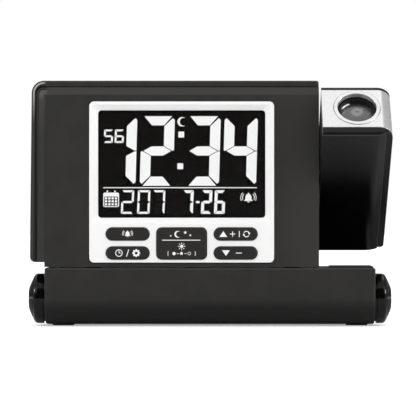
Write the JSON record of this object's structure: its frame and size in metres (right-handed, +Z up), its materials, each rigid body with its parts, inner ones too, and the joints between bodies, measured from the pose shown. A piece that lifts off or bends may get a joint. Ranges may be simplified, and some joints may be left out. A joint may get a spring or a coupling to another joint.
{
  "type": "projection alarm clock",
  "caption": "Bedside projection alarm clock: bar base, tilting display head with buttons, and a swivelling projector arm with a focus ring.",
  "frame": {"origin": "on the table, midway between the end caps, below the projector arm's swivel axis", "axes": "+X to the right seen from the front, +Y to the back, +Z up; the display faces -Y"},
  "size_m": [0.1466, 0.0673, 0.0986],
  "materials": {
    "charcoal_plastic": "fine-textured moulding",
    "black_gloss": "polished moulding",
    "silver_paint": "satin silver paint on plastic",
    "white_plastic": "satin white paint",
    "button_grey": "satin moulding with printed symbols",
    "clear_window": "clear polished sheet",
    "lcd_black": "black display glass",
    "light_guide": "translucent white sheet",
    "circuit_board": "green solder mask",
    "switch_black": "moulded black",
    "bush_white": "natural acetal",
    "bright_steel": "plated steel",
    "dark_steel": "blackened steel",
    "black_rubber": "soft rubber",
    "cell_sleeve": "plain printed sleeve",
    "lens_glass": "clear optical moulding"
  },
  "bodies": {
    "base": {"base_housing": "charcoal_plastic", "base_bottom_cover": "charcoal_plastic", "base_screws": "dark_steel", "rubber_feet": "black_rubber", "battery_cells": "cell_sleeve", "battery_contacts": "bright_steel", "supply_board": "circuit_board", "supply_socket": "black_gloss", "end_cap_left": "black_gloss", "end_cap_right": "black_gloss", "hinge_pin_left": "bright_steel", "hinge_pin_right": "bright_steel", "hinge_washers": "bright_steel"},
    "battery_door": {"battery_door": "charcoal_plastic"},
    "head": {"front_housing": "charcoal_plastic", "rear_housing": "charcoal_plastic", "case_screws": "dark_steel", "hinge_bracket": "charcoal_plastic", "display_bezel": "white_plastic", "lcd_window": "clear_window", "lcd_panel": "lcd_black", "backlight_panel": "light_guide", "connector_strips": "black_rubber", "main_board": "circuit_board", "board_screws": "bright_steel", "tact_switches": "switch_black", "board_chips": "switch_black", "buzzer": "switch_black", "pivot_bush": "bush_white"},
    "projector_arm": {"arm_rear_shell": "black_gloss", "arm_nose": "silver_paint", "arm_front_cover": "black_gloss", "arm_screws": "dark_steel", "arm_pivot_shaft": "bush_white", "pivot_spring_washer": "bright_steel", "pivot_retaining_ring": "bright_steel", "lens_ring": "silver_paint", "lens_guide": "switch_black", "focus_clip": "bright_steel", "light_box": "switch_black", "projection_film": "lcd_black", "condenser_lens": "lens_glass", "projector_board": "circuit_board", "projector_led": "lens_glass"},
    "focus_ring": {"focus_ring": "charcoal_plastic"},
    "lens_barrel": {"lens_barrel": "switch_black", "projection_lens": "lens_glass"},
    "alarm_button": {"alarm_button": "button_grey"},
    "mode_set_button": {"mode_set_button": "button_grey"},
    "up_button": {"up_button": "button_grey"},
    "down_button": {"down_button": "button_grey"},
    "snooze_light_button": {"snooze_light_button": "button_grey"}
  },
  "joints": [
    {"name": "head_tilt", "type": "hinge", "parent": "base", "child": "head", "pos_m": [0, -0.001, 0.011], "axis": [-1, 0, 0], "range_deg": [0, 10]},
    {"name": "arm_swivel", "type": "hinge", "parent": "head", "child": "projector_arm", "pos_m": [0.046, 0, 0.0628], "axis": [1, 0, 0], "range_deg": [-138, 42]},
    {"name": "focus_turn", "type": "hinge", "parent": "projector_arm", "child": "focus_ring", "pos_m": [0.0579, -0.01092, 0.07384], "axis": [0, -0.7431, 0.6691], "range_deg": [-60, 60]},
    {"name": "focus_slide", "type": "slide", "parent": "projector_arm", "child": "lens_barrel", "axis": [0, -0.7431, 0.6691], "range_m": [-0.001, 0.001]},
    {"name": "battery_door_lift", "type": "slide", "parent": "base", "child": "battery_door", "axis": [0, 0, -1], "range_m": [0, 0.02]},
    {"name": "alarm_button_press", "type": "slide", "parent": "head", "child": "alarm_button", "axis": [0, 1, 0], "range_m": [0, 0.0008], "stiffness_N_per_m": 800},
    {"name": "mode_set_button_press", "type": "slide", "parent": "head", "child": "mode_set_button", "axis": [0, 1, 0], "range_m": [0, 0.0008], "stiffness_N_per_m": 800},
    {"name": "up_button_press", "type": "slide", "parent": "head", "child": "up_button", "axis": [0, 1, 0], "range_m": [0, 0.0008], "stiffness_N_per_m": 800},
    {"name": "down_button_press", "type": "slide", "parent": "head", "child": "down_button", "axis": [0, 1, 0], "range_m": [0, 0.0008], "stiffness_N_per_m": 800},
    {"name": "snooze_light_button_press", "type": "slide", "parent": "head", "child": "snooze_light_button", "axis": [0, 1, 0], "range_m": [0, 0.0008], "stiffness_N_per_m": 800}
  ],
  "couplings": [
    {"joint": "focus_turn", "follows": "focus_slide", "rad_per_m": 1047.2}
  ]
}
